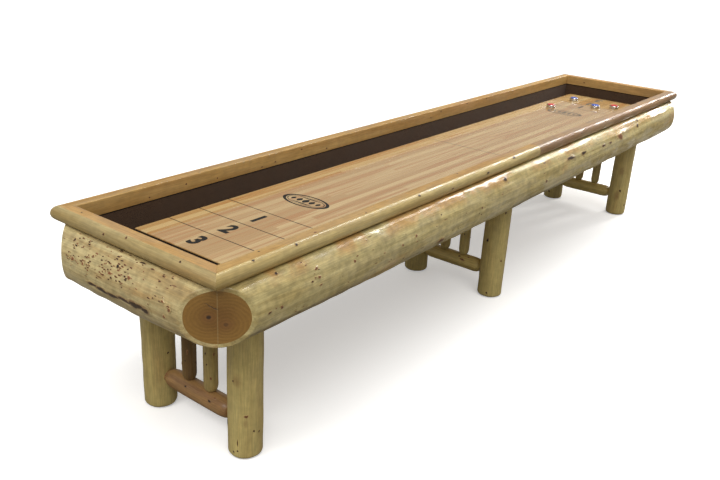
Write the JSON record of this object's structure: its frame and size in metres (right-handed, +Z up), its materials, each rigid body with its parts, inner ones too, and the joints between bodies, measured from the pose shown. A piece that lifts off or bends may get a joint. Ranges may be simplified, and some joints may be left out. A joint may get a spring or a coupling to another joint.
{
  "type": "shuffleboard table",
  "caption": "Long log-style shuffleboard table: glossy butcher-block playfield in carpeted gutters, half-log sides, round log legs with levellers, and steel weights.",
  "frame": {"origin": "on the floor, under the middle of the table", "axes": "+X along the playfield towards the far end, +Y across it towards the back, +Z up"},
  "size_m": [4.372, 0.96, 0.864],
  "materials": {
    "log_wood": "clear glossy coat over peeled pine",
    "leg_wood": "clear satin-gloss coat over peeled pine",
    "stretcher_wood": "clear coat over red-brown peeled log",
    "spindle_wood": "clear coat",
    "rail_wood": "clear glossy coat over knotty pine",
    "dowel_wood": "raw beech",
    "playfield_maple": "thick clear gloss over butcher-block maple",
    "cabinet_plywood": "raw plywood",
    "frame_wood": "raw hardwood",
    "gutter_carpet": "short dark brown pile",
    "zinc_steel": "zinc plated",
    "weight_steel": "polished steel",
    "red_cap": "gloss",
    "blue_cap": "gloss"
  },
  "bodies": {
    "table": {"adjuster_brackets": "zinc_steel", "adjuster_rods": "zinc_steel", "back_log": "log_wood", "back_rail_far": "rail_wood", "back_rail_near": "rail_wood", "back_side_board": "cabinet_plywood", "bearers": "frame_wood", "deck": "cabinet_plywood", "far_back_leg": "leg_wood", "far_beam": "frame_wood", "far_end_board": "cabinet_plywood", "far_end_log": "log_wood", "far_end_rail": "rail_wood", "far_front_leg": "leg_wood", "far_stretcher": "stretcher_wood", "front_log": "log_wood", "front_rail_far": "rail_wood", "front_rail_near": "rail_wood", "front_side_board": "cabinet_plywood", "gutter_floor_carpet": "gutter_carpet", "gutter_wall_carpets": "gutter_carpet", "leg_bolts": "zinc_steel", "log_screws": "zinc_steel", "middle_back_leg": "leg_wood", "middle_beam": "frame_wood", "middle_front_leg": "leg_wood", "middle_stretcher": "stretcher_wood", "near_back_leg": "leg_wood", "near_beam": "frame_wood", "near_end_board": "cabinet_plywood", "near_end_log": "log_wood", "near_end_rail": "rail_wood", "near_front_leg": "leg_wood", "near_stretcher": "stretcher_wood", "playfield": "playfield_maple", "rail_dowels": "dowel_wood", "spindles": "spindle_wood"},
    "near_front_leveller_foot": {"near_front_leveller_foot": "zinc_steel"},
    "near_front_leveller_screw": {"near_front_leveller_screw": "zinc_steel"},
    "near_back_leveller_foot": {"near_back_leveller_foot": "zinc_steel"},
    "near_back_leveller_screw": {"near_back_leveller_screw": "zinc_steel"},
    "middle_front_leveller_foot": {"middle_front_leveller_foot": "zinc_steel"},
    "middle_front_leveller_screw": {"middle_front_leveller_screw": "zinc_steel"},
    "middle_back_leveller_foot": {"middle_back_leveller_foot": "zinc_steel"},
    "middle_back_leveller_screw": {"middle_back_leveller_screw": "zinc_steel"},
    "far_front_leveller_foot": {"far_front_leveller_foot": "zinc_steel"},
    "far_front_leveller_screw": {"far_front_leveller_screw": "zinc_steel"},
    "far_back_leveller_foot": {"far_back_leveller_foot": "zinc_steel"},
    "far_back_leveller_screw": {"far_back_leveller_screw": "zinc_steel"},
    "near_adjuster_nut": {"near_adjuster_nut": "zinc_steel"},
    "middle_adjuster_nut": {"middle_adjuster_nut": "zinc_steel"},
    "far_adjuster_nut": {"far_adjuster_nut": "zinc_steel"},
    "blue_weight_a": {"blue_weight_a_base": "weight_steel", "blue_weight_a_cap": "blue_cap"},
    "red_weight_a": {"red_weight_a_base": "weight_steel", "red_weight_a_cap": "red_cap"},
    "blue_weight_b": {"blue_weight_b_base": "weight_steel", "blue_weight_b_cap": "blue_cap"},
    "red_weight_b": {"red_weight_b_base": "weight_steel", "red_weight_b_cap": "red_cap"}
  },
  "joints": [
    {"name": "near_front_foot_slide", "type": "slide", "parent": "table", "child": "near_front_leveller_foot", "axis": [0, 0, -1], "range_m": [0, 0.012]},
    {"name": "near_front_screw_turn", "type": "hinge", "parent": "near_front_leveller_foot", "child": "near_front_leveller_screw", "pos_m": [-1.836, -0.242, 0.03], "axis": [0, 0, -1], "range_deg": [0, 2882]},
    {"name": "near_back_foot_slide", "type": "slide", "parent": "table", "child": "near_back_leveller_foot", "axis": [0, 0, -1], "range_m": [0, 0.012]},
    {"name": "near_back_screw_turn", "type": "hinge", "parent": "near_back_leveller_foot", "child": "near_back_leveller_screw", "pos_m": [-1.836, 0.242, 0.03], "axis": [0, 0, -1], "range_deg": [0, 2882]},
    {"name": "middle_front_foot_slide", "type": "slide", "parent": "table", "child": "middle_front_leveller_foot", "axis": [0, 0, -1], "range_m": [0, 0.012]},
    {"name": "middle_front_screw_turn", "type": "hinge", "parent": "middle_front_leveller_foot", "child": "middle_front_leveller_screw", "pos_m": [0, -0.242, 0.03], "axis": [0, 0, -1], "range_deg": [0, 2882]},
    {"name": "middle_back_foot_slide", "type": "slide", "parent": "table", "child": "middle_back_leveller_foot", "axis": [0, 0, -1], "range_m": [0, 0.012]},
    {"name": "middle_back_screw_turn", "type": "hinge", "parent": "middle_back_leveller_foot", "child": "middle_back_leveller_screw", "pos_m": [0, 0.242, 0.03], "axis": [0, 0, -1], "range_deg": [0, 2882]},
    {"name": "far_front_foot_slide", "type": "slide", "parent": "table", "child": "far_front_leveller_foot", "axis": [0, 0, -1], "range_m": [0, 0.012]},
    {"name": "far_front_screw_turn", "type": "hinge", "parent": "far_front_leveller_foot", "child": "far_front_leveller_screw", "pos_m": [1.836, -0.242, 0.03], "axis": [0, 0, -1], "range_deg": [0, 2882]},
    {"name": "far_back_foot_slide", "type": "slide", "parent": "table", "child": "far_back_leveller_foot", "axis": [0, 0, -1], "range_m": [0, 0.012]},
    {"name": "far_back_screw_turn", "type": "hinge", "parent": "far_back_leveller_foot", "child": "far_back_leveller_screw", "pos_m": [1.836, 0.242, 0.03], "axis": [0, 0, -1], "range_deg": [0, 2882]},
    {"name": "near_adjuster_turn", "type": "hinge", "parent": "table", "child": "near_adjuster_nut", "pos_m": [-0.96, 0, 0.675], "axis": [0, 1, 0], "range_deg": [-360, 360]},
    {"name": "middle_adjuster_turn", "type": "hinge", "parent": "table", "child": "middle_adjuster_nut", "pos_m": [0, 0, 0.675], "axis": [0, 1, 0], "range_deg": [-360, 360]},
    {"name": "far_adjuster_turn", "type": "hinge", "parent": "table", "child": "far_adjuster_nut", "pos_m": [0.96, 0, 0.675], "axis": [0, 1, 0], "range_deg": [-360, 360]},
    {"name": "blue_weight_a_slide", "type": "slide", "parent": "table", "child": "blue_weight_a", "axis": [1, 0, 0], "range_m": [-0.18, 0.18]},
    {"name": "red_weight_a_slide", "type": "slide", "parent": "table", "child": "red_weight_a", "axis": [1, 0, 0], "range_m": [-3.18, 0.1]},
    {"name": "blue_weight_b_slide", "type": "slide", "parent": "table", "child": "blue_weight_b", "axis": [1, 0, 0], "range_m": [-3.41, 0.29]},
    {"name": "red_weight_b_slide", "type": "slide", "parent": "table", "child": "red_weight_b", "axis": [1, 0, 0], "range_m": [-3.51, 0.19]}
  ],
  "couplings": [
    {"joint": "near_front_screw_turn", "follows": "near_front_foot_slide", "rad_per_m": 4188.8},
    {"joint": "near_back_screw_turn", "follows": "near_back_foot_slide", "rad_per_m": 4188.8},
    {"joint": "middle_front_screw_turn", "follows": "middle_front_foot_slide", "rad_per_m": 4188.8},
    {"joint": "middle_back_screw_turn", "follows": "middle_back_foot_slide", "rad_per_m": 4188.8},
    {"joint": "far_front_screw_turn", "follows": "far_front_foot_slide", "rad_per_m": 4188.8},
    {"joint": "far_back_screw_turn", "follows": "far_back_foot_slide", "rad_per_m": 4188.8}
  ]
}
